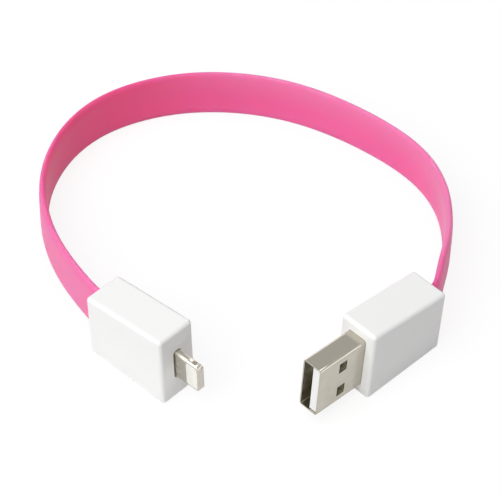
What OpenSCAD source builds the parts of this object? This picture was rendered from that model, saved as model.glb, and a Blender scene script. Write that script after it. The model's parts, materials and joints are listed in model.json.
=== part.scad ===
// Flat bracelet charging cable: a USB-A plug and a small reversible phone plug,
// each in a tapered box housing, joined by a flat cable that stands on its edge.
// Millimetres. Z is up and z = 0 is the table. The origin lies on the table,
// midway between the two plugs.
//
// Each plug is drawn in its own frame: x points out of the connector from the
// centre of the housing's front face, y runs across its thickness and z is up.

/* [Housings] */
// Length of each housing
housing_len = 20.0; // [18:0.1:24]
// Height at the connector end
housing_front_h = 16.6; // [15.4:0.1:17]
// Height at the cable end
housing_rear_h = 14.5; // [13.6:0.1:15]
// Thickness of each housing
housing_thick = 8.7; // [7.8:0.1:10]
// Radius of every outer edge
housing_edge_r = 0.8; // [0.5:0.1:1.2]
// Wall of the outer moulding
housing_wall = 1.2; // [1:0.1:1.4]

/* [USB plug] */
// Width of the steel shell
shell_w = 12.0; // [11.9:0.05:12.1]
// Height of the steel shell
shell_h = 4.5; // [4.4:0.05:4.6]
// Length of shell that stands out of the housing
shell_out = 11.9; // [11.7:0.1:12.2]
// Length of shell held in the housing
shell_in = 6.4; // [5:0.1:7]
// Thickness of the sheet steel
sheet_t = 0.3; // [0.25:0.05:0.35]
// Distance from the mouth to the latch windows
window_from_mouth = 5.2; // [4.8:0.1:5.6]

/* [Phone plug] */
// Width of the metal blade
blade_w = 6.7; // [6.5:0.1:6.8]
// Thickness of the metal blade
blade_t = 1.5; // [1.4:0.05:1.6]
// Length of blade that stands out of the housing
blade_out = 6.1; // [6:0.1:7]
// Number of contacts on each face of the blade
pad_count = 8; // [4:1:8]

/* [Flat cable] */
// Width of the flat cable
cable_w = 11.2; // [10:0.1:11.2]
// Thickness of the flat cable
cable_t = 1.7; // [1.7:0.1:2.2]
// Radius of the cable's long edges
cable_edge_r = 0.8; // [0.4:0.1:0.8]
// Diameter of one insulated wire
wire_d = 0.9; // [0.7:0.1:1]

/* [Placing] */
// Heading of the USB plug
usb_heading = -135; // [-145:0.5:-125]
// Heading of the phone plug
phone_heading = -42.5; // [-52:0.5:-32]

/* [Hidden] */

eps = 0.01;
ball_facets = 32;

// Where the centre of each front face stands over the table
usb_at = [16.9, -3.8];
phone_at = [-16.3, -6.3];

// A housing tapers from front to rear, so it rests on a sloping narrow side
// and its connector points up by this angle
taper = (housing_front_h - housing_rear_h) / 2 / (housing_len - 2 * housing_edge_r);
rest_tilt = atan(taper);
axis_height = housing_edge_r * (1 + sin(rest_tilt))
            + (housing_front_h / 2 - housing_edge_r) * cos(rest_tilt);

// Inner moulding and the ends of the cable held in it
mould_front = -housing_wall;
mould_rear = -housing_len + housing_wall;
cable_grip = 2.0;
cable_end = mould_rear + cable_grip;
slot_gap = 0.05;

// Inside of the USB shell
bore_w = shell_w - 2 * sheet_t;
bore_h = shell_h - 2 * sheet_t;
shell_r = 0.6;
bore_r = shell_r - sheet_t;
window_len = 2.0;
window_w = 2.5;
window_pitch = 6.2;
pocket_depth = 1.4;
seam_gap = 0.04;

// The tongue lies against the seam side of the shell
tongue_t = 1.84;
tongue_w = 11.1;
tongue_recess = 0.3;
tongue_face = bore_h / 2 - tongue_t;
base_depth = 8.9;
platform_out = 2.6;
platform_w = 10.2;

// Contacts of the USB plug, from top to bottom
contact_w = 1.0;
contact_t = 0.25;
contact_proud = 0.05;
contact_z = [3.5, 1.0, -1.0, -3.5];
power_recess = 1.6;
data_recess = 2.6;
tail_out = 2.2;

// Wires, from top to bottom in the cable
core_z = [3.6, 1.2, -1.2, -3.6];
solder_r = 0.72;

// Phone plug
blade_edge_r = 0.6;
blade_tip_r = 1.1;
blade_gap = 0.25;
flange = [1.6, 2.9, 8.4];
flange_back = -3.2;
pad_window = [2.8, 5.5];
pad_window_x = 2.9;
pad_window_r = 0.5;
block_sink = 0.06;
core_slot = [0.8, 5.0];
core_slot_front = 1.2;
pad_pitch = 0.6;
pad_size = [2.2, 0.3];
pad_sink = 0.03;
pad_t = 0.12;
notch_x = 4.0;
notch_r = 1.7;
notch_depth = 0.35;
notch_w = 0.9;

// Circuit board behind the blade
board_t = 0.6;
board_w = 9.4;
board_neck_w = 4.8;
board_rear = -10.6;
chip = [3.0, 0.7, 2.6];
chip_x = -6.2;
capacitor = [0.6, 0.5, 1.0];
capacitor_x = -4.4;
capacitor_z = [-3.6, 2.9, 4.1];

// Route of the cable's centreline between its straight ends
route = [
    [33.4, 15.1, 6.9], [34.2, 19.8, 6.8], [35.6, 25.3, 6.7], [36.2, 31.8, 6.5],
    [35.9, 39.2, 6.3], [33.7, 46.9, 6.0], [29.3, 53.7, 5.8], [23.1, 59.6, 5.6],
    [15.8, 64.8, 5.6], [7.7, 69.2, 5.6], [-0.9, 71.9, 5.6], [-10.0, 72.9, 5.6],
    [-19.1, 72.1, 5.6], [-27.9, 69.2, 5.6], [-35.9, 64.2, 5.6], [-41.6, 56.7, 5.6],
    [-44.8, 47.8, 5.6], [-45.5, 38.4, 5.8], [-43.8, 29.2, 6.0], [-40.6, 21.2, 6.4],
    [-36.6, 14.4, 6.8]
];
straight_step = 2.7;
rings_per_span = 3;

// Placing

module place_usb()
    translate([usb_at.x, usb_at.y, axis_height]) rotate([0, -rest_tilt, usb_heading])
        children();

module place_phone()
    translate([phone_at.x, phone_at.y, axis_height]) rotate([0, -rest_tilt, phone_heading])
        children();

// A point x along a plug's own axis, seen in the part's frame
function on_axis(at, heading, x) = [
    at.x + x * cos(rest_tilt) * cos(heading),
    at.y + x * cos(rest_tilt) * sin(heading),
    axis_height + x * sin(rest_tilt)
];

// Shared shapes

// Extrudes a profile drawn in y and z from x = from to x = to
module along_x(from, to)
    translate([from, 0, 0]) rotate([90, 0, 90]) linear_extrude(to - from) children();

// Extrudes an outline drawn in x and z, centred on the plug's mid-plane
module across_y(thick)
    rotate([90, 0, 0]) linear_extrude(thick, center = true) children();

// A box centred on y and z that runs back from x = front
module block_back(front, size)
    translate([front - size.x, -size.y / 2, -size.z / 2]) cube(size);

module rounded_rect(size, r) {
    square([size.x - 2 * r, size.y], center = true);
    square([size.x, size.y - 2 * r], center = true);
    for (sx = [-1, 1], sy = [-1, 1])
        translate([sx * (size.x / 2 - r), sy * (size.y / 2 - r)]) circle(r, $fn = 48);
}

// Half the housing's height at a place along its axis
function half_height(x) = housing_front_h / 2 + (x + housing_edge_r) * taper;

// Tapered box with round edges: the outside of both housings
module housing_outside() {
    r = housing_edge_r;
    hull()
        for (end = [[-r, housing_front_h], [r - housing_len, housing_rear_h]],
             sy = [-1, 1], sz = [-1, 1])
            translate([end.x, sy * (housing_thick / 2 - r), sz * (end.y / 2 - r)])
                sphere(r, $fn = ball_facets);
}

// Tapered block that fills a housing
module housing_inside()
    across_y(housing_thick - 2 * housing_wall)
        polygon([for (p = [[mould_front, 1], [mould_rear, 1], [mould_rear, -1], [mould_front, -1]])
            [p.x, p.y * (half_height(p.x) - housing_wall)]]);

module cable_passage(gap)
    along_x(-housing_len - 1, cable_end)
        rounded_rect([cable_t + 2 * gap, cable_w + 2 * gap], cable_edge_r + gap);

// One insulated wire, straight from one point to another
module wire_run(from, to) {
    run = to - from;
    translate(from)
        rotate([0, acos(run.z / norm(run)), atan2(run.y, run.x)])
            cylinder(d = wire_d, h = norm(run), $fn = 24);
}

// A drop of solder that sits on a face at y = face, on its lower side
module solder_drop(x, face, z)
    intersection() {
        translate([x, face, z]) sphere(solder_r, $fn = 24);
        translate([x - 1, face - 1, z - 1]) cube([2, 1, 2]);
    }

// USB plug

solder_x = -shell_in - tail_out + 1.2;
tail_face = tongue_face - contact_proud;

module usb_wire(i)
    wire_run([cable_end + slot_gap, 0, core_z[i]],
             [solder_x - 0.2, tail_face - wire_d / 2 - eps, contact_z[i]]);

module shell_section() rounded_rect([shell_h, shell_w], shell_r);

module bore_section() rounded_rect([bore_h, bore_w], bore_r);

module latch_windows(y, depth)
    for (sz = [-1, 1])
        translate([shell_out - window_from_mouth - window_len, y, sz * window_pitch / 2 - window_w / 2])
            cube([window_len, depth, window_w]);

// The folded sheet meets along this line, with one dovetail that locks it
module shell_seam() {
    tail_at = 3.0;
    line = [[-shell_in - 1, 0], [shell_out - tail_at - 1.6, 0], [shell_out - tail_at - 1.9, -1.1],
            [shell_out - tail_at + 0.3, -1.1], [shell_out - tail_at, 0], [shell_out + 1, 0]];
    translate([0, shell_h / 2 - sheet_t / 2, 0]) across_y(2 * sheet_t)
        for (i = [0:len(line) - 2]) {
            run = line[i + 1] - line[i];
            translate(line[i]) rotate(atan2(run.y, run.x))
                translate([0, -seam_gap / 2]) square([norm(run) + seam_gap / 2, seam_gap]);
        }
}

module usb_shell()
    color([0.78, 0.77, 0.73]) place_usb()
        difference() {
            along_x(-shell_in, shell_out) shell_section();
            along_x(-shell_in - 1, shell_out + 1) bore_section();
            latch_windows(-shell_h / 2 - 1, 1 + 2 * sheet_t);
            latch_windows(shell_h / 2 - 2 * sheet_t, 1 + 2 * sheet_t);
            shell_seam();
        }

// One flat spring contact that dips into the tongue at its front
module usb_contact(i) {
    recess = (i == 0 || i == 3) ? power_recess : data_recess;
    tip = shell_out - recess;
    top = tail_face;
    low = tail_face + contact_t;
    translate([0, 0, contact_z[i] - contact_w / 2])
        linear_extrude(contact_w)
            polygon([[-shell_in - tail_out, top], [tip - 0.6, top], [tip, top + 0.3],
                     [tip, low + 0.3], [tip - 0.6, low], [-shell_in - tail_out, low]]);
}

module usb_contact_power() color([0.86, 0.68, 0.32]) place_usb() usb_contact(0);

module usb_contact_data_minus() color([0.86, 0.68, 0.32]) place_usb() usb_contact(1);

module usb_contact_data_plus() color([0.86, 0.68, 0.32]) place_usb() usb_contact(2);

module usb_contact_ground() color([0.86, 0.68, 0.32]) place_usb() usb_contact(3);

// Tongue, the base that fills the shell behind it, and the solder platform
module insulator_body() {
    along_x(-shell_in, shell_out - base_depth) bore_section();
    translate([-shell_in, tongue_face, -tongue_w / 2])
        cube([shell_in + shell_out - tongue_recess, tongue_t - bore_r, tongue_w]);
    translate([-shell_in, tongue_face, -tongue_w / 2 + bore_r])
        cube([shell_in + shell_out - tongue_recess, tongue_t, tongue_w - 2 * bore_r]);
    translate([-shell_in - platform_out, tongue_face, -platform_w / 2])
        cube([platform_out, tongue_t - bore_r, platform_w]);
}

module usb_insulator()
    color([0.95, 0.95, 0.93]) place_usb()
        difference() {
            insulator_body();
            for (i = [0:3]) usb_contact(i);
            latch_windows(bore_h / 2 - pocket_depth, pocket_depth + 1);
        }

module usb_solder_drop(i) solder_drop(solder_x, tail_face, contact_z[i]);

module usb_solder_joints()
    color([0.72, 0.72, 0.7]) place_usb()
        difference() {
            for (i = [0:3]) usb_solder_drop(i);
            for (i = [0:3]) usb_wire(i);
        }

module usb_inner_mould()
    color([0.93, 0.93, 0.9]) place_usb()
        difference() {
            housing_inside();
            along_x(-shell_in, shell_out) shell_section();
            insulator_body();
            cable_passage(slot_gap);
            for (i = [0:3]) {
                usb_contact(i);
                usb_wire(i);
                usb_solder_drop(i);
            }
        }

module usb_housing()
    color([0.95, 0.95, 0.95]) place_usb()
        difference() {
            housing_outside();
            housing_inside();
            along_x(-housing_wall - 1, 1) shell_section();
            cable_passage(slot_gap);
        }

// Phone plug

board_face = -board_t / 2;
phone_solder_x = board_rear + 1.0;

module phone_wire(i)
    wire_run([cable_end + slot_gap, 0, core_z[i]],
             [phone_solder_x - 0.2, board_face - wire_d / 2 - eps, core_z[i]]);

// Blade with round edges, cut round at the corners of its tip
module blade_solid(back)
    intersection() {
        along_x(back, blade_out) rounded_rect([blade_t, blade_w], blade_edge_r);
        across_y(blade_t + 1) {
            translate([back, -blade_w / 2]) square([blade_out - blade_tip_r - back, blade_w]);
            translate([back, -blade_w / 2 + blade_tip_r])
                square([blade_out - back, blade_w - 2 * blade_tip_r]);
            for (sz = [-1, 1])
                translate([blade_out - blade_tip_r, sz * (blade_w / 2 - blade_tip_r)])
                    circle(blade_tip_r, $fn = 48);
        }
    }

// Opening in the blade's faces that the contact block fills
module pad_window_solid(thick)
    across_y(thick)
        translate([pad_window_x + pad_window.x / 2, 0]) rounded_rect(pad_window, pad_window_r);

// Flat channel that leads from the window back through the flange
module core_channel(front, back)
    block_back(front, [front - back, core_slot.x, core_slot.y]);

// Latch notches in the two narrow sides
module latch_notches()
    for (sz = [-1, 1])
        translate([notch_x, 0, sz * (blade_w / 2 + notch_r - notch_depth)])
            rotate([90, 0, 0]) cylinder(r = notch_r, h = notch_w, center = true, $fn = 64);

module blade_and_flange() {
    blade_solid(flange_back);
    block_back(flange_back + flange.x, flange);
}

module phone_plug_frame()
    color([0.76, 0.74, 0.69]) place_phone()
        difference() {
            blade_and_flange();
            pad_window_solid(blade_t + 1);
            core_channel(pad_window_x + 1, flange_back - 1);
            latch_notches();
        }

module pad(i, side)
    translate([pad_window_x + (pad_window.x - pad_size.x) / 2,
               side * (blade_t / 2 - pad_sink - pad_t / 2) - pad_t / 2,
               (i - (pad_count - 1) / 2) * pad_pitch - pad_size.y / 2])
        cube([pad_size.x, pad_t, pad_size.y]);

module pads(side) for (i = [0:pad_count - 1]) pad(i, side);

module phone_contact_block()
    color([0.95, 0.95, 0.93]) place_phone()
        difference() {
            union() {
                pad_window_solid(blade_t - 2 * block_sink);
                core_channel(pad_window_x + 1, core_slot_front);
            }
            pads(-1);
            pads(1);
        }

module phone_contacts_front() color([0.87, 0.74, 0.45]) place_phone() pads(-1);

module phone_contacts_back() color([0.87, 0.74, 0.45]) place_phone() pads(1);

module board_solid() {
    block_back(core_slot_front, [core_slot_front - flange_back + 1, board_t, board_neck_w]);
    block_back(flange_back - 0.2, [flange_back - 0.2 - board_rear, board_t, board_w]);
}

module phone_circuit_board() color([0.12, 0.42, 0.22]) place_phone() board_solid();

module chip_solid()
    translate([chip_x - chip.x / 2, board_face - chip.y, -chip.z / 2]) cube(chip);

module phone_control_chip() color([0.12, 0.12, 0.13]) place_phone() chip_solid();

module capacitor_solids()
    for (z = capacitor_z)
        translate([capacitor_x - capacitor.x / 2, board_face - capacitor.y, z - capacitor.z / 2])
            cube(capacitor);

module phone_capacitors() color([0.66, 0.5, 0.34]) place_phone() capacitor_solids();

module phone_solder_drop(i) solder_drop(phone_solder_x, board_face, core_z[i]);

module phone_solder_joints()
    color([0.72, 0.72, 0.7]) place_phone()
        difference() {
            for (i = [0:3]) phone_solder_drop(i);
            for (i = [0:3]) phone_wire(i);
        }

module phone_inner_mould()
    color([0.93, 0.93, 0.9]) place_phone()
        difference() {
            housing_inside();
            blade_and_flange();
            board_solid();
            chip_solid();
            capacitor_solids();
            cable_passage(slot_gap);
            for (i = [0:3]) {
                phone_wire(i);
                phone_solder_drop(i);
            }
        }

module phone_housing()
    color([0.95, 0.95, 0.95]) place_phone()
        difference() {
            housing_outside();
            housing_inside();
            along_x(-housing_wall - 1, 1)
                rounded_rect([blade_t + 2 * blade_gap, blade_w + 2 * blade_gap], blade_edge_r + blade_gap);
            cable_passage(slot_gap);
        }

// Wires

module wire(i, tint)
    color(tint) {
        place_usb() usb_wire(i);
        place_phone() phone_wire(i);
    }

module wire_red() wire(0, [0.8, 0.1, 0.1]);

module wire_white() wire(1, [0.93, 0.93, 0.93]);

module wire_green() wire(2, [0.1, 0.55, 0.25]);

module wire_black() wire(3, [0.1, 0.1, 0.1]);

// Flat cable

// Control points: straight out of each housing, then round by the route
cable_points = concat(
    [for (i = [-1:2]) on_axis(usb_at, usb_heading, cable_end - i * straight_step)],
    route,
    [for (i = [2:-1:-1]) on_axis(phone_at, phone_heading, cable_end - i * straight_step)]);

// Uniform cubic B-spline through control points p[i] to p[i + 3]
function spline_point(p, i, t) =
    (p[i] * (1 - t) ^ 3 + p[i + 1] * (3 * t ^ 3 - 6 * t ^ 2 + 4)
     + p[i + 2] * (-3 * t ^ 3 + 3 * t ^ 2 + 3 * t + 1) + p[i + 3] * t ^ 3) / 6;

function spline_slope(p, i, t) =
    (-p[i] * (1 - t) ^ 2 + p[i + 1] * (3 * t ^ 2 - 4 * t)
     + p[i + 2] * (-3 * t ^ 2 + 2 * t + 1) + p[i + 3] * t ^ 2) / 2;

function unit(v) = v / norm(v);

// Rounded cross-section: x across the thickness, y across the width
cable_section = [for (c = [[1, 1, 0], [-1, 1, 90], [-1, -1, 180], [1, -1, 270]], a = [0, 45, 90])
    [c.x * (cable_t / 2 - cable_edge_r) + cable_edge_r * cos(c.z + a),
     c.y * (cable_w / 2 - cable_edge_r) + cable_edge_r * sin(c.z + a)]];

// One ring of the cable, its width upright
function ring_at(p, i, t) =
    let (centre = spline_point(p, i, t), ahead = unit(spline_slope(p, i, t)),
         side = unit(cross([0, 0, 1], ahead)), up = cross(ahead, side))
    [for (s = cable_section) centre + s.x * side + s.y * up];

module flat_cable() {
    sides = len(cable_section);
    spans = len(cable_points) - 3;
    rings = spans * rings_per_span + 1;
    points = [for (k = [0:rings - 1])
        let (i = min(floor(k / rings_per_span), spans - 1))
        each ring_at(cable_points, i, k / rings_per_span - i)];
    skin = [for (k = [0:rings - 2], j = [0:sides - 1])
        let (a = k * sides + j, b = k * sides + (j + 1) % sides)
        each [[a, b, b + sides], [a, b + sides, a + sides]]];
    start_cap = [for (j = [1:sides - 2]) [0, j + 1, j]];
    end_cap = [for (j = [1:sides - 2], a = [(rings - 1) * sides]) [a, a + j, a + j + 1]];
    color([0.94, 0.38, 0.62]) polyhedron(points, concat(skin, start_cap, end_cap));
}

usb_shell();
usb_insulator();
usb_contact_power();
usb_contact_data_minus();
usb_contact_data_plus();
usb_contact_ground();
usb_solder_joints();
usb_inner_mould();
usb_housing();
flat_cable();
wire_red();
wire_white();
wire_green();
wire_black();
phone_plug_frame();
phone_contact_block();
phone_contacts_front();
phone_contacts_back();
phone_circuit_board();
phone_control_chip();
phone_capacitors();
phone_solder_joints();
phone_inner_mould();
phone_housing();
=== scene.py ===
import json
import math

import bpy
import bmesh
from mathutils import Matrix, Vector


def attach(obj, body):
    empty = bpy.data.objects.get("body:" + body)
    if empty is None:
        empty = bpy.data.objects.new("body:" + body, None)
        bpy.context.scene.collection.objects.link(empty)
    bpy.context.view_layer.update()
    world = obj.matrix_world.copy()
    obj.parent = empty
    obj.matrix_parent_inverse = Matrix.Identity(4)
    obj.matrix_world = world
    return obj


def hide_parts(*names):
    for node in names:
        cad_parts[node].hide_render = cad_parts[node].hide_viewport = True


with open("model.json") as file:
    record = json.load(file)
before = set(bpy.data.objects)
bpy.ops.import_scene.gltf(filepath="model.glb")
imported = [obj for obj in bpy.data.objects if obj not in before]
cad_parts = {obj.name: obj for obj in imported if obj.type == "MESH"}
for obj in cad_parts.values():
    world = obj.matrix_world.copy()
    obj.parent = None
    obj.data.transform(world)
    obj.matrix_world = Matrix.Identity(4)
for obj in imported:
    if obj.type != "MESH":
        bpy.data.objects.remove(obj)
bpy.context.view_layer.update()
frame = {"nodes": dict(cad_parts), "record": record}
nodes = frame["nodes"]
mm = 0.001
print("frame loaded with", len(nodes), "nodes")

camera = dict(
    target=(-3.28 * mm, 31.77 * mm, 0),
    distance=477.7 * mm,
    elevation=45.95,   # degrees above the table, looking along +Y
    roll=1.355,        # degrees
    lens=170.6,
    sensor=36,
    nearest=0.01,      # metres, the closest thing that the lens shows
    furthest=20,
)


def makeCamera():
    rise = math.radians(camera["elevation"])
    roll = math.radians(camera["roll"])
    back = Vector((0, -math.cos(rise), math.sin(rise)))
    level = Vector((1, 0, 0))
    upright = back.cross(level)
    right = math.cos(roll) * level + math.sin(roll) * upright
    up = back.cross(right)
    data = bpy.data.cameras.new("camera")
    data.lens = camera["lens"]
    data.sensor_width = camera["sensor"]
    data.clip_start = camera["nearest"]
    data.clip_end = camera["furthest"]
    eye = bpy.data.objects.new("camera", data)
    turn = Matrix((right, up, back)).transposed().to_4x4()
    eye.matrix_world = Matrix.Translation(Vector(camera["target"]) + camera["distance"] * back) @ turn
    bpy.context.scene.collection.objects.link(eye)
    bpy.context.scene.camera = eye


makeCamera()
bpy.context.scene.view_settings.view_transform = "Standard"
print("camera set")

# both housings have this shape, and the plugs stand where the CAD source puts them
housing = dict(
    length=20.0 * mm,
    frontHeight=16.6 * mm,
    rearHeight=14.5 * mm,
    thickness=8.7 * mm,
    edgeRadius=0.8 * mm,
    wall=1.2 * mm,
    lipRadius=0.12 * mm,       # of the openings' edges
    edgeSteps=8,
    lipSteps=3,
    cornerSteps=8,
    leastRadius=0.03 * mm,     # that the corners keep on the flat end faces
    cavityRadius=0.05 * mm,
    cableClearance=0.05 * mm,
    bladeHoleWidth=7.2 * mm,
    bladeHoleHeight=2.0 * mm,
    bladeHoleRadius=0.85 * mm,
)
plugPlaces = {
    "usb": dict(at=(16.9 * mm, -3.8 * mm), heading=-135),
    "phone": dict(at=(-16.3 * mm, -6.3 * mm), heading=-42.5),
}
flatLength = housing["length"] - 2 * housing["edgeRadius"]
taper = (housing["frontHeight"] - housing["rearHeight"]) / 2 / flatLength
tilt = math.atan(taper)
axisHeight = (housing["edgeRadius"] * (1 + math.sin(tilt))
              + (housing["frontHeight"] / 2 - housing["edgeRadius"]) * math.cos(tilt))


def plugFrame(name):
    # x points out of the plug, y across its thickness and z across its width
    place = plugPlaces[name]
    turn = Matrix.Rotation(math.radians(place["heading"]), 4, "Z") @ Matrix.Rotation(-tilt, 4, "Y")
    return Matrix.Translation((*place["at"], axisHeight)) @ turn


def roundedRing(x, halfY, halfZ, radius, steps):
    # a rectangle with round corners, upright at x
    ring = []
    for sideY, sideZ, start in ((1, 1, 0), (-1, 1, 90), (-1, -1, 180), (1, -1, 270)):
        for step in range(steps + 1):
            angle = math.radians(start + 90 * step / steps)
            ring.append(Vector((x, sideY * (halfY - radius) + radius * math.cos(angle),
                                sideZ * (halfZ - radius) + radius * math.sin(angle))))
    return ring


def softRing(x, halfY, halfZ, fullness, count):
    # a flat oval, upright at x, that keeps more of its thickness towards its edges the fuller it is
    ring = []
    for i in range(count):
        angle = 2 * math.pi * (i + 0.5) / count
        rise = math.sin(angle)
        reach = math.copysign(abs(rise) ** (2 / fullness), rise)
        ring.append(Vector((x, halfY * math.cos(angle), halfZ * reach)))
    return ring


def loft(rings, closed):
    # faces from ring to ring; a closed loft joins the last ring to the first, an open one is capped
    count = len(rings[0])
    faces = []
    for i in range(len(rings) if closed else len(rings) - 1):
        a, b = i * count, (i + 1) % len(rings) * count
        faces += [(a + j, a + (j + 1) % count, b + (j + 1) % count, b + j) for j in range(count)]
    if not closed:
        faces += [tuple(range(count)), tuple(range((len(rings) - 1) * count, len(rings) * count))]
    return [point for ring in rings for point in ring], faces


edging = dict(
    crispFrom=40,              # degrees between two faces, from which their edge is shaded crisp
    brokenFrom=35,             # degrees, from which a copied shape's edge is broken
    flatWithin=1,              # degrees, within which a copied shape's faces become one
    weldWithin=0.001 * mm,
    segments=2,                # of a broken edge
    profile=0.5,               # round
)


def breakEdges(edit, edges, softness):
    bmesh.ops.bevel(edit, geom=edges, offset=softness, offset_type="OFFSET", segments=edging["segments"],
                    profile=edging["profile"], affect="EDGES", clamp_overlap=True)


def showMesh(name, edit, finish):
    mesh = bpy.data.meshes.new(name)
    edit.to_mesh(mesh)
    edit.free()
    mesh.shade_smooth()
    mesh.set_sharp_from_angle(angle=math.radians(edging["crispFrom"]))
    mesh.materials.append(finish)
    piece = bpy.data.objects.new(name, mesh)
    bpy.context.scene.collection.objects.link(piece)
    even = piece.modifiers.new("evenShading", "WEIGHTED_NORMAL")
    even.keep_sharp = True
    return piece


def makePiece(name, points, faces, finish, softEdges=(), softness=0):
    edit = bmesh.new()
    corners = [edit.verts.new(p) for p in points]
    for face in faces:
        edit.faces.new([corners[i] for i in face])
    bmesh.ops.recalc_face_normals(edit, faces=edit.faces)
    if softEdges:
        breakEdges(edit, [edit.edges.get((corners[a], corners[b])) for a, b in softEdges], softness)
    return showMesh(name, edit, finish)


def softenedCopy(node, name, finish, softness):
    # the node's own shape with its sharp edges broken
    edit = bmesh.new()
    edit.from_mesh(nodes[node].data)
    bmesh.ops.remove_doubles(edit, verts=edit.verts, dist=edging["weldWithin"])
    flatAngle, brokenAngle = math.radians(edging["flatWithin"]), math.radians(edging["brokenFrom"])
    bmesh.ops.dissolve_limit(edit, angle_limit=flatAngle, verts=edit.verts, edges=edit.edges)
    sharp = [edge for edge in edit.edges if edge.calc_face_angle(0) > brokenAngle]
    breakEdges(edit, sharp, softness)
    return showMesh(name, edit, finish)


def standIn(piece, node):
    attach(piece, "root")
    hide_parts(node)


class Wire:
    # one socket, so that shader maths is written as sums
    def __init__(self, finish, socket):
        self.finish, self.socket = finish, socket

    def maths(self, operation, *values):
        sockets = dict(enumerate((self, *values)))
        return self.finish.node("ShaderNodeMath", {"operation": operation}, sockets)

    def swapped(self, operation, value):
        return self.finish.node("ShaderNodeMath", {"operation": operation}, {0: value, 1: self})

    def __add__(self, value):
        return self.maths("ADD", value)

    def __sub__(self, value):
        return self.maths("SUBTRACT", value)

    def __rsub__(self, value):
        return self.swapped("SUBTRACT", value)

    def __mul__(self, value):
        return self.maths("MULTIPLY", value)

    __radd__ = __add__
    __rmul__ = __mul__


class Finish:
    def __init__(self, owner):
        # owner is a new material or world
        self.owner = owner
        owner.use_nodes = True
        self.tree = owner.node_tree
        self.tree.nodes.clear()

    def node(self, kind, settings=None, sockets=None, output=0):
        # settings first, because some of them change which sockets there are
        made = self.tree.nodes.new(kind)
        for key, value in (settings or {}).items():
            setattr(made, key, value)
        for key, value in (sockets or {}).items():
            if isinstance(value, Wire):
                self.tree.links.new(value.socket, made.inputs[key])
            else:
                made.inputs[key].default_value = value
        return Wire(self, made.outputs[output]) if made.outputs else made

    def place(self, heading=0, stretch=(1, 1, 1)):
        # object coordinates in metres, turned to a plug's heading and stretched along its axes
        here = self.node("ShaderNodeTexCoord", output=3)
        turned = self.node("ShaderNodeVectorRotate", {"rotation_type": "Z_AXIS"},
                           {"Vector": here, "Angle": -math.radians(heading)})
        return self.node("ShaderNodeVectorMath", {"operation": "MULTIPLY"}, {0: turned, 1: stretch})

    def noise(self, where, scale, detail=2, roughness=0.5):
        return self.node("ShaderNodeTexNoise", None,
                         {"Vector": where, "Scale": scale, "Detail": detail, "Roughness": roughness})

    def mixed(self, factor, first, second):
        ends = {0: factor, 6: first, 7: second}
        ends.update({key: (*value, 1) for key, value in ends.items() if isinstance(value, tuple)})
        return self.node("ShaderNodeMix", {"data_type": "RGBA"}, ends, 2)

    def ramp(self, value, start, end):
        # a soft step from 0 to 1
        return self.node("ShaderNodeMapRange", {"interpolation_type": "SMOOTHSTEP"},
                         {"Value": value, "From Min": start, "From Max": end})

    def bump(self, height):
        return self.node("ShaderNodeBump", None, {"Height": height, "Distance": 1.0, "Strength": 1.0})

    def surface(self, sockets):
        shader = self.node("ShaderNodeBsdfPrincipled", None, sockets)
        self.node("ShaderNodeOutputMaterial", None, {"Surface": shader})
        return self.owner


def newFinish(name):
    return Finish(bpy.data.materials.new(name))


cable = dict(
    width=11.2 * mm,
    thickness=1.66 * mm,
    fullness=6.0,            # of its section: it keeps most of its thickness up to both edges
    sectionPoints=72,
    heldAt=-16.8 * mm,       # its ends, along each plug's axis
    straightStep=2.7 * mm,
    ringsPerSpan=8,
    freeLength=181.5 * mm,
)


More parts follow.
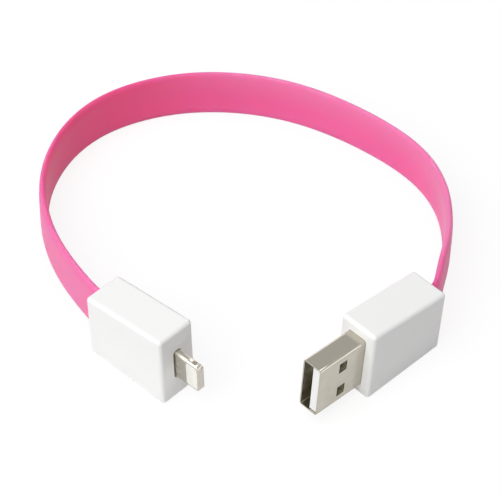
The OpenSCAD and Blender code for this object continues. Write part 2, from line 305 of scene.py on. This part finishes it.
def pinkJacketFinish():
    look = dict(
        colour=(0.870, 0.126, 0.364),
        deeper=(0.850, 0.113, 0.335),    # in faint clouds
        paintedHighlight=(0.880, 0.215, 0.440),     # painted highlight, high up on the USB plug's half, and by the phone plug
        paintedShadeRed=(0.868, 0.112, 0.298),    # painted shade, inside the loop, on the phone plug's half
        paintedHighlightFrom=4.0 * mm,              # heights above the table, over which the painted highlight grows
        paintedHighlightTo=12.6 * mm,
        paintedHighlightLow=0.2,                    # how much of the painted highlight the lower edge has
        paintedHighlightAtEnd=0.7,                  # how much painted highlight there is by the phone plug
        growsFrom=3 * mm,                # lengths along the cable, from its end in the USB plug
        growsTo=21 * mm,
        fallsFrom=80 * mm,
        fallsTo=116 * mm,
        returnsFrom=145 * mm,
        returnsTo=176 * mm,
        sideBlend=0.3,                   # how softly the inner side ends at the cable's edges
        roughness=0.46,
        grainRoughness=0.08,
        cloudRoughness=0.05,
        scattering=0.85,
        scatterRadius=(1.0, 0.22, 0.30),
        translucency=3.6 * mm,
        specular=0.24,
        sheen=0.06,
        sheenRoughness=0.45,
        sheenTint=(1.0, 0.80, 1.0, 1),
        cloudScale=90,
        grainScale=2600,
        grainDepth=0.005 * mm,
        drawScale=(25, 1800, 1),
        drawDepth=0.005 * mm,
    )
    finish = newFinish("pinkJacket")
    where = finish.place()
    along = finish.node("ShaderNodeUVMap", {"uv_map": "alongCable"})
    drawn = finish.node("ShaderNodeVectorMath", {"operation": "MULTIPLY"},
                        {0: along, 1: look["drawScale"]})
    cloud = finish.noise(where, look["cloudScale"], detail=3)
    grain = finish.noise(where, look["grainScale"])
    lines = finish.noise(drawn, 1.0, detail=1)
    height = finish.node("ShaderNodeSeparateXYZ", None, {0: where}, 2)
    distance = finish.node("ShaderNodeSeparateXYZ", None, {0: along})
    girth = finish.node("ShaderNodeSeparateXYZ", None, {0: along}, 1)
    turned = girth * (math.pi / (cable["width"] + cable["thickness"]))
    inside = finish.ramp(turned.maths("COSINE"), -look["sideBlend"], look["sideBlend"])
    # painted highlight: paler high up on the USB plug's half and along the end by the phone plug
    upper = finish.ramp(height, look["paintedHighlightFrom"], look["paintedHighlightTo"])
    grown = finish.ramp(distance, look["growsFrom"], look["growsTo"])
    fallen = finish.ramp(distance, look["fallsFrom"], look["fallsTo"])
    returned = finish.ramp(distance, look["returnsFrom"], look["returnsTo"])
    raised = look["paintedHighlightLow"] + (1 - look["paintedHighlightLow"]) * upper
    share = grown * (1 - fallen) * raised + look["paintedHighlightAtEnd"] * returned
    body = finish.mixed(cloud, look["colour"], look["deeper"])
    # painted shade: the inner side of the loop on the phone plug's half is redder
    body = finish.mixed(inside * fallen * (1 - returned), body, look["paintedShadeRed"])
    return finish.surface({
        "Base Color": finish.mixed(share, body, look["paintedHighlight"]),
        "Roughness": (look["roughness"] + look["grainRoughness"] * (grain - 0.5)
                      + look["cloudRoughness"] * (cloud - 0.5)),
        "Normal": finish.bump(grain * look["grainDepth"] + lines * look["drawDepth"]),
        "Subsurface Weight": look["scattering"],
        "Subsurface Radius": look["scatterRadius"],
        "Subsurface Scale": look["translucency"],
        "Specular IOR Level": look["specular"],
        "Sheen Weight": look["sheen"],
        "Sheen Roughness": look["sheenRoughness"],
        "Sheen Tint": look["sheenTint"],
    })


def whiteHousingFinish():
    look = dict(
        colour=(0.890, 0.890, 0.886),
        shade=(0.880, 0.880, 0.873),
        roughness=0.34,
        fineRoughness=0.05,
        slowRoughness=0.06,
        specular=0.16,
        slowScale=160,
        slowDepth=0.006 * mm,
        fineScale=5200,
        fineDepth=0.0004 * mm,
    )
    finish = newFinish("whiteHousing")
    where = finish.place()
    slow = finish.noise(where, look["slowScale"])
    fine = finish.noise(where, look["fineScale"])
    return finish.surface({
        "Base Color": finish.mixed(slow, look["colour"], look["shade"]),
        "Roughness": (look["roughness"] + look["fineRoughness"] * (fine - 0.5)
                      + look["slowRoughness"] * (slow - 0.5)),
        "Normal": finish.bump(slow * look["slowDepth"] + fine * look["fineDepth"]),
        "Specular IOR Level": look["specular"],
    })


def metalFinish(name, heading, colour, tarnish, roughness):
    # satin metal, drawn along the plug's axis, with a faint cloud of wear and small scuffs
    wear = dict(
        drawScale=(250, 6000, 6000),
        drawDepth=0.0004 * mm,
        drawRoughness=0.06,
        cloudScale=420,
        cloudShare=0.55,
        cloudRoughness=0.10,
        scuffScale=(260, 900, 900),
        scuffShare=0.45,
        scuffDepth=0.006 * mm,
        scuffRoughness=0.10,
        scuffHarshness=0.6,
        speckScale=3800,
        speckDepth=0.0003 * mm,
    )
    finish = newFinish(name)
    drawn = finish.noise(finish.place(heading, wear["drawScale"]), 1.0, detail=3)
    cloud = finish.noise(finish.place(heading), wear["cloudScale"], detail=3)
    scuffs = finish.noise(finish.place(heading, wear["scuffScale"]), 1.0, detail=3,
                          roughness=wear["scuffHarshness"])
    specks = finish.noise(finish.place(heading), wear["speckScale"])
    worn = wear["cloudShare"] * cloud + wear["scuffShare"] * scuffs
    return finish.surface({
        "Base Color": finish.mixed(worn, colour, tarnish),
        "Metallic": 1.0,
        "Roughness": (roughness + wear["drawRoughness"] * (drawn - 0.5)
                      + wear["cloudRoughness"] * (cloud - 0.5) + wear["scuffRoughness"] * (scuffs - 0.5)),
        "Normal": finish.bump(drawn * wear["drawDepth"] + specks * wear["speckDepth"]
                              + scuffs * wear["scuffDepth"]),
    })


plasticGrain = dict(
    cloudScale=900,
    scale=4500,
    depth=0.004 * mm,
    roughness=0.12,
)


def plasticSurface(finish, colour, roughness):
    grain = finish.noise(finish.place(), plasticGrain["scale"])
    return finish.surface({
        "Base Color": colour,
        "Roughness": roughness + plasticGrain["roughness"] * (grain - 0.5),
        "Normal": finish.bump(grain * plasticGrain["depth"]),
    })


def plainFinish(name, colour, shade, roughness):
    # moulded plastic, wire insulation, ceramic or epoxy
    finish = newFinish(name)
    cloud = finish.noise(finish.place(), plasticGrain["cloudScale"], detail=3)
    return plasticSurface(finish, finish.mixed(cloud, colour, shade), roughness)


def usbInsulatorFinish():
    # white where the tongue shows in the mouth, and painted shade where only the latch windows show it: a
    # dark colour standing in for the shade in the recesses behind them
    look = dict(
        white=(0.86, 0.86, 0.85),
        paintedShade=(0.40, 0.38, 0.27),
        whiteFrom=10.2 * mm,      # from the housing's front face
        paintedShadeUntil=8.8 * mm,
        cloudShare=0.05,
        roughness=0.42,
    )
    heading = plugPlaces["usb"]["heading"]
    x, y = plugPlaces["usb"]["at"]
    reach = x * math.cos(math.radians(heading)) + y * math.sin(math.radians(heading))
    finish = newFinish("usbInsulator")
    along = finish.node("ShaderNodeSeparateXYZ", None, {0: finish.place(heading)})
    # 0 in the painted shade behind the windows, rising to 1 where the tongue shows white
    light = finish.node("ShaderNodeMapRange", None, {
        "Value": along, "From Min": reach + look["paintedShadeUntil"], "From Max": reach + look["whiteFrom"]})
    cloud = finish.noise(finish.place(), plasticGrain["cloudScale"], detail=3)
    clouded = light - look["cloudShare"] * cloud * light
    return plasticSurface(finish, finish.mixed(clouded, look["paintedShade"], look["white"]), look["roughness"])


def makeFinishes():
    # for each slot its colour, the second tone of its clouds and its roughness
    usbWay, phoneWay = plugPlaces["usb"]["heading"], plugPlaces["phone"]["heading"]
    return {
        "steel_shell": metalFinish("nickelSteel", usbWay, (0.59, 0.56, 0.49), (0.47, 0.44, 0.37), 0.21),
        "blade_metal": metalFinish("bladeSteel", phoneWay, (0.64, 0.61, 0.54), (0.54, 0.51, 0.44), 0.28),
        "gold_contacts": metalFinish("goldPlate", phoneWay, (0.85, 0.82, 0.74), (0.80, 0.76, 0.65), 0.36),
        "solder": metalFinish("tinSolder", usbWay, (0.66, 0.66, 0.65), (0.55, 0.55, 0.54), 0.34),
        "white_insulator": plainFinish("whiteInsulator", (0.90, 0.90, 0.89), (0.87, 0.87, 0.85), 0.42),
        "inner_mould": plainFinish("innerMould", (0.86, 0.86, 0.82), (0.80, 0.80, 0.76), 0.55),
        "wire_red": plainFinish("wireRed", (0.62, 0.03, 0.03), (0.52, 0.02, 0.02), 0.40),
        "wire_white": plainFinish("wireWhite", (0.84, 0.84, 0.83), (0.78, 0.78, 0.76), 0.40),
        "wire_green": plainFinish("wireGreen", (0.03, 0.34, 0.10), (0.02, 0.27, 0.08), 0.40),
        "wire_black": plainFinish("wireBlack", (0.02, 0.02, 0.02), (0.03, 0.03, 0.03), 0.40),
        "circuit_board": plainFinish("circuitBoard", (0.03, 0.22, 0.08), (0.02, 0.17, 0.06), 0.35),
        "chip_black": plainFinish("chipEpoxy", (0.02, 0.02, 0.022), (0.03, 0.03, 0.03), 0.55),
        "capacitor_ceramic": plainFinish("capacitorCeramic", (0.42, 0.27, 0.14), (0.34, 0.21, 0.11), 0.50),
        "white_housing": whiteHousingFinish(),
        "pink_jacket": pinkJacketFinish(),
    }


finishes = makeFinishes()
for part in frame["record"]["subparts"]:
    solid = nodes[part["node"]]
    solid.data.materials.clear()
    solid.data.materials.append(finishes[part["material_slot"]])
# the insulator's own finish, with painted shade behind the latch windows
nodes["usb_insulator"].data.materials[0] = usbInsulatorFinish()
print("finishes made:", len(finishes) + 1)

cableRoute = (   # the middle of the cable in millimetres, from the USB plug to the phone plug
    (33.4, 15.1, 6.9), (34.2, 19.8, 6.8), (35.6, 25.3, 6.7), (36.2, 31.8, 6.5),
    (35.9, 39.2, 6.3), (33.7, 46.9, 6.0), (29.3, 53.7, 5.8), (23.1, 59.6, 5.6),
    (15.8, 64.8, 5.6), (7.7, 69.2, 5.6), (-0.9, 71.9, 5.6), (-10.0, 72.9, 5.6),
    (-19.1, 72.1, 5.6), (-27.9, 69.2, 5.6), (-35.9, 64.2, 5.6), (-41.6, 56.7, 5.6),
    (-44.8, 47.8, 5.6), (-45.5, 38.4, 5.8), (-43.8, 29.2, 6.0), (-40.6, 21.2, 6.4),
    (-36.6, 14.4, 6.8),
)


def cablePoints():
    # straight out of each housing, and by the route between; the curve starts at the second point
    straight = [cable["heldAt"] - i * cable["straightStep"] for i in (-1, 0, 1, 2)]
    start = [plugFrame("usb") @ Vector((x, 0, 0)) for x in straight]
    end = [plugFrame("phone") @ Vector((x, 0, 0)) for x in reversed(straight)]
    return start + [Vector(p) * mm for p in cableRoute] + end


def splineAt(points, span, t):
    # place and direction on a uniform cubic B-spline
    a, b, c, d = points[span:span + 4]
    place = (a * (1 - t) ** 3 + b * (3 * t ** 3 - 6 * t ** 2 + 4)
             + c * (-3 * t ** 3 + 3 * t ** 2 + 3 * t + 1) + d * t ** 3) / 6
    slope = (-a * (1 - t) ** 2 + b * (3 * t ** 2 - 4 * t)
             + c * (-3 * t ** 2 + 2 * t + 1) + d * t ** 2) / 2
    return place, slope.normalized()


def makeCable():
    points = cablePoints()
    spans = len(points) - 3
    section = softRing(0, cable["thickness"] / 2, cable["width"] / 2, cable["fullness"],
                       cable["sectionPoints"])
    rings, centres = [], []
    for k in range(spans * cable["ringsPerSpan"] + 1):
        span = min(k // cable["ringsPerSpan"], spans - 1)
        centre, ahead = splineAt(points, span, k / cable["ringsPerSpan"] - span)
        side = Vector((0, 0, 1)).cross(ahead).normalized()
        up = ahead.cross(side)
        rings.append([centre + p.y * side + p.z * up for p in section])
        centres.append(centre)
    piece = makePiece("pinkFlatCable", *loft(rings, False), finishes["pink_jacket"])
    addCableMap(piece, len(section), centres)
    standIn(piece, "flat_cable")


def addCableMap(piece, count, centres):
    # u runs along the cable and v round it, both in metres
    lengths = [0.0]
    for a, b in zip(centres, centres[1:]):
        lengths.append(lengths[-1] + (b - a).length)
    chart = piece.data.uv_layers.new(name="alongCable")
    stepRound = 2 * (cable["width"] + cable["thickness"]) / count
    for face in piece.data.polygons:
        wraps = {v % count for v in face.vertices} >= {0, count - 1} and len(face.vertices) == 4
        for corner in face.loop_indices:
            ring, j = divmod(piece.data.loops[corner].vertex_index, count)
            chart.data[corner].uv = (lengths[ring], (count if wraps and j == 0 else j) * stepRound)


makeCable()
print("flat cable made")

# the USB plug's folded sheet, which the opening of its housing fits
shell = dict(
    width=12.0 * mm,
    height=4.5 * mm,
    out=11.9 * mm,            # from the housing's front face to the mouth
    held=6.4 * mm,
    sheet=0.3 * mm,
    foldRadius=0.6 * mm,
    foldSteps=6,
    windowFromMouth=5.2 * mm,
    windowLength=2.0 * mm,
    windowWidth=2.5 * mm,
    windowPitch=6.2 * mm,
    tailFromMouth=3.0 * mm,   # the dovetail that locks the seam
    tailLength=1.6 * mm,
    tailDepth=1.1 * mm,
    tailFlare=0.3 * mm,
    seamGap=0.015 * mm,
    edgeRound=0.05 * mm,
)
cornerCount = 4 * (housing["cornerSteps"] + 1)


def shellHole(x, grow):
    # fits the steel shell
    return roundedRing(x, shell["height"] / 2 + grow, shell["width"] / 2 + grow,
                       shell["foldRadius"] + grow, housing["cornerSteps"])


def bladeHole(x, grow):
    # leaves a narrow gap round the blade
    return roundedRing(x, housing["bladeHoleHeight"] / 2 + grow, housing["bladeHoleWidth"] / 2 + grow,
                       housing["bladeHoleRadius"] + grow, housing["cornerSteps"])


def cableHole(x, grow):
    clear = housing["cableClearance"] + grow
    return softRing(x, cable["thickness"] / 2 + clear, cable["width"] / 2 + clear, cable["fullness"],
                    cornerCount)


def holeRings(hole, face, inward):
    # from inside the wall out to the face, round a small lip
    lip, steps = housing["lipRadius"], housing["lipSteps"]
    rings = [hole(face + inward * housing["wall"], 0)]
    for step in range(steps + 1):
        angle = math.radians(90 * step / steps)
        rings.append(hole(face + inward * lip * (1 - math.sin(angle)), lip * (1 - math.cos(angle))))
    return rings


def edgeRings(face, inward, height):
    # round the outer edge, from the flat end face to the sides
    radius, steps = housing["edgeRadius"], housing["edgeSteps"]
    rings = []
    for step in range(steps + 1):
        angle = math.radians(90 - 90 * step / steps)
        shrink = radius * (1 - math.cos(angle))
        rings.append(roundedRing(face + inward * radius * (1 - math.sin(angle)),
                                 housing["thickness"] / 2 - shrink, height / 2 - shrink,
                                 max(radius - shrink, housing["leastRadius"]), housing["cornerSteps"]))
    return rings


def cavityRing(x):
    halfHeight = housing["frontHeight"] / 2 + (x + housing["edgeRadius"]) * taper
    return roundedRing(x, housing["thickness"] / 2 - housing["wall"], halfHeight - housing["wall"],
                       housing["cavityRadius"], housing["cornerSteps"])


def makeHousing(name, plug, frontHole):
    rear, wall = -housing["length"], housing["wall"]
    rings = holeRings(frontHole, 0, -1)
    rings += edgeRings(0, -1, housing["frontHeight"])
    rings += reversed(edgeRings(rear, 1, housing["rearHeight"]))
    rings += reversed(holeRings(cableHole, rear, 1))
    rings += [cavityRing(rear + wall), cavityRing(-wall)]
    vertices, faces = loft(rings, True)
    place = plugFrame(plug)
    piece = makePiece(name, [place @ v for v in vertices], faces, finishes["white_housing"])
    standIn(piece, plug + "_housing")


makeHousing("usbHousingMoulding", "usb", shellHole)
makeHousing("phoneHousingMoulding", "phone", bladeHole)
print("housings made")


def shellColumns():
    # round the folded sheet from its seam: y, z and the way that the sheet faces
    halfY, halfZ, radius = shell["height"] / 2, shell["width"] / 2, shell["foldRadius"]
    near = (shell["windowPitch"] - shell["windowWidth"]) / 2
    far = near + shell["windowWidth"]
    columns = []

    def addFlat(side, places):
        columns.extend((side * halfY, z, side, 0) for z in places)

    def addFold(sideY, sideZ, start):
        for step in range(shell["foldSteps"] + 1):
            angle = math.radians(start + 90 * step / shell["foldSteps"])
            across, along = math.cos(angle), math.sin(angle)
            columns.append((sideY * (halfY - radius) + radius * across,
                            sideZ * (halfZ - radius) + radius * along, across, along))

    addFlat(1, (0, near, far))
    addFold(1, 1, 0)
    addFold(-1, 1, 90)
    addFlat(-1, (far, near, -near, -far))
    addFold(-1, -1, 180)
    addFold(1, -1, 270)
    addFlat(1, (-far, -near, -shell["tailDepth"]))
    return columns, near, far


def makeShell():
    # a blank of sheet steel, folded round: the cells of a grid, with the windows left out and the seam cut
    columns, near, far = shellColumns()
    last = len(columns) - 1
    windowFront = shell["out"] - shell["windowFromMouth"]
    tailFront = shell["out"] - shell["tailFromMouth"]
    tailBack = tailFront - shell["tailLength"]
    windowBack = windowFront - shell["windowLength"]
    stations = (-shell["held"], windowBack, windowFront, tailBack, tailFront, shell["out"])
    backOfWindow, backOfTail, frontOfTail = 1, 3, 4
    seam = {(0, s) for s in range(len(stations))} | {(last, backOfTail), (last, frontOfTail)}
    flare = {backOfTail: -1, frontOfTail: 1}
    place = plugFrame("usb")
    points, known = [], {}

    def vertex(i, s, side):
        # the outer point of the sheet; its inner one comes next in the list
        key = (i, s, side if (i, s) in seam else 0)
        if key not in known:
            y, z, outY, outZ = columns[i]
            # the tail flares from none at its root to the full amount at its tip; elsewhere it is half
            spread = {0: 0.0, last: 1.0}.get(i, 0.5) * shell["tailFlare"]
            x = stations[s] + flare.get(s, 0) * (spread - key[2] * shell["seamGap"] / 2)
            z += key[2] * shell["seamGap"] / 2
            known[key] = len(points)
            for depth in (0, shell["sheet"]):
                points.append(place @ Vector((x, y - outY * depth, z - outZ * depth)))
        return known[key]

    def isWindow(i, j, s):
        flat = columns[i][3] == 0 and columns[j][3] == 0
        return flat and s == backOfWindow and {abs(columns[i][1]), abs(columns[j][1])} == {near, far}

    faces, borders = [], {}
    for i in range(last + 1):
        j = (i + 1) % (last + 1)
        for s in range(len(stations) - 1):
            if isWindow(i, j, s):
                continue
            side = 1 if i == 0 or (i == last and s == backOfTail) else -1
            cell = [vertex(i, s, side), vertex(j, s, side), vertex(j, s + 1, side), vertex(i, s + 1, side)]
            faces += [tuple(cell), tuple(v + 1 for v in reversed(cell))]
            for a, b in zip(cell, cell[1:] + cell[:1]):
                borders[(a, b)] = (b, a) not in borders
                if (b, a) in borders:
                    borders[(b, a)] = False
    seamPoints = {index for (i, s, side), index in known.items() if side}
    softEdges = []
    for (a, b), isRim in borders.items():
        if isRim:
            faces.append((a, b, b + 1, a + 1))
            if not {a, b} <= seamPoints:
                softEdges += [(a, b), (a + 1, b + 1)]
    piece = makePiece("usbShellFolded", points, faces, finishes["steel_shell"], softEdges,
                      shell["edgeRound"])
    standIn(piece, "usb_shell")


makeShell()
print("folded shell made")

pads = dict(
    count=8,
    pitch=0.6 * mm,
    length=2.2 * mm,
    width=0.3 * mm,
    middle=4.3 * mm,       # from the housing's front face
    foot=0.60 * mm,        # from the blade's mid-plane
    face=0.72 * mm,
    cornerRadius=0.13 * mm,
    cornerSteps=4,
    edgeRound=0.02 * mm,
)
blade = dict(edgeRound=0.05 * mm)


def makePads(name, node, side):
    # eight flat contacts with round ends
    place = plugFrame("phone")
    points, faces = [], []
    for i in range(pads["count"]):
        rise = (i - (pads["count"] - 1) / 2) * pads["pitch"]
        rings = []
        for depth, shrink in ((pads["foot"], 0), (pads["face"] - pads["edgeRound"], 0),
                              (pads["face"], pads["edgeRound"])):
            ring = roundedRing(depth, pads["length"] / 2 - shrink, pads["width"] / 2 - shrink,
                               pads["cornerRadius"] - shrink, pads["cornerSteps"])
            rings.append([place @ Vector((pads["middle"] + p.y, side * p.x, rise + p.z)) for p in ring])
        somePoints, someFaces = loft(rings, False)
        faces += [tuple(v + len(points) for v in face) for face in someFaces]
        points += somePoints
    standIn(makePiece(name, points, faces, finishes["gold_contacts"]), node)


makePads("phonePadsFront", "phone_contacts_front", 1)
makePads("phonePadsBack", "phone_contacts_back", -1)
standIn(softenedCopy("phone_plug_frame", "phoneBladeFrame", finishes["blade_metal"], blade["edgeRound"]),
        "phone_plug_frame")
print("blade made")

studio = dict(
    floorSize=6.0,
    floorColour=(0.80, 0.80, 0.80, 1),
    floorGlow=1.05,                # mixed with the floor's lit surface, by these two shares
    floorGlowShare=0.82,           # as the lens sees it
    floorGlowInGloss=0.5,          # as polished surfaces show it
    skyStrength=0.165,             # of the light from all round
    skyInGloss=(1.0, 2.4, 0.60),   # what polished surfaces show of it: at the horizon, higher and high up
    skyHigher=0.25,                # the sines of those two heights
    skyHighUp=0.6,
    lampDistance=2.0,
    keyPower=44.0,
    keySize=2.0,
    keyHeading=-137.0,
    keyElevation=54.0,
    backPower=8.0,
    backSize=1.0,
    backHeading=55.0,
    backElevation=76.0,
)


def makeFloor():
    half = studio["floorSize"] / 2
    mesh = bpy.data.meshes.new("floor")
    corners = [(-half, -half, 0), (half, -half, 0), (half, half, 0), (-half, half, 0)]
    mesh.from_pydata(corners, [], [(0, 1, 2, 3)])
    finish = newFinish("paleFloor")
    seen = finish.node("ShaderNodeLightPath")
    mirrored = finish.node("ShaderNodeLightPath", output=3)
    lit = finish.node("ShaderNodeBsdfDiffuse", None, {"Color": studio["floorColour"]})
    glow = finish.node("ShaderNodeEmission", None,
                       {"Color": (1, 1, 1, 1), "Strength": studio["floorGlow"]})
    share = seen * studio["floorGlowShare"] + mirrored * studio["floorGlowInGloss"]
    both = finish.node("ShaderNodeMixShader", None, {0: share, 1: lit, 2: glow})
    finish.node("ShaderNodeOutputMaterial", None, {"Surface": both})
    mesh.materials.append(finish.owner)
    floor = bpy.data.objects.new("floor", mesh)
    bpy.context.scene.collection.objects.link(floor)


def makeSky():
    world = bpy.data.worlds.new("studio")
    bpy.context.scene.world = world
    finish = Finish(world)
    seen = finish.node("ShaderNodeLightPath")
    mirrored = finish.node("ShaderNodeLightPath", output=3)
    around = studio["skyStrength"]
    low, middle, high = studio["skyInGloss"]
    way = finish.node("ShaderNodeSeparateXYZ", None, {0: finish.node("ShaderNodeTexCoord", output=0)}, 2)
    climb = finish.node("ShaderNodeMapRange", None, {
        "Value": way, "From Min": 0.0, "From Max": studio["skyHigher"], "To Min": low, "To Max": middle})
    fall = finish.node("ShaderNodeMapRange", None, {
        "Value": way, "From Min": studio["skyHigher"], "From Max": studio["skyHighUp"],
        "To Min": 1.0, "To Max": high / middle})
    shine = climb * fall
    strength = around + seen * (1 - around) + mirrored * (shine - around)
    sky = finish.node("ShaderNodeBackground", None, {"Color": (1, 1, 1, 1), "Strength": strength})
    finish.node("ShaderNodeOutputWorld", None, {"Surface": sky})


def makeLamp(name):
    lamp = bpy.data.lights.new(name + "Lamp", "AREA")
    lamp.shape = "SQUARE"
    lamp.size = studio[name + "Size"]
    lamp.energy = studio[name + "Power"]
    holder = bpy.data.objects.new(name + "Lamp", lamp)
    turn, rise = math.radians(studio[name + "Heading"]), math.radians(studio[name + "Elevation"])
    away = Vector((math.cos(turn) * math.cos(rise), math.sin(turn) * math.cos(rise), math.sin(rise)))
    middle = Vector((camera["target"][0], camera["target"][1], 0))
    holder.location = middle + away * studio["lampDistance"]
    holder.rotation_mode = "QUATERNION"
    holder.rotation_quaternion = away.to_track_quat("Z", "Y")
    bpy.context.scene.collection.objects.link(holder)


makeFloor()
makeSky()
makeLamp("key")
makeLamp("back")
print("floor and light set")
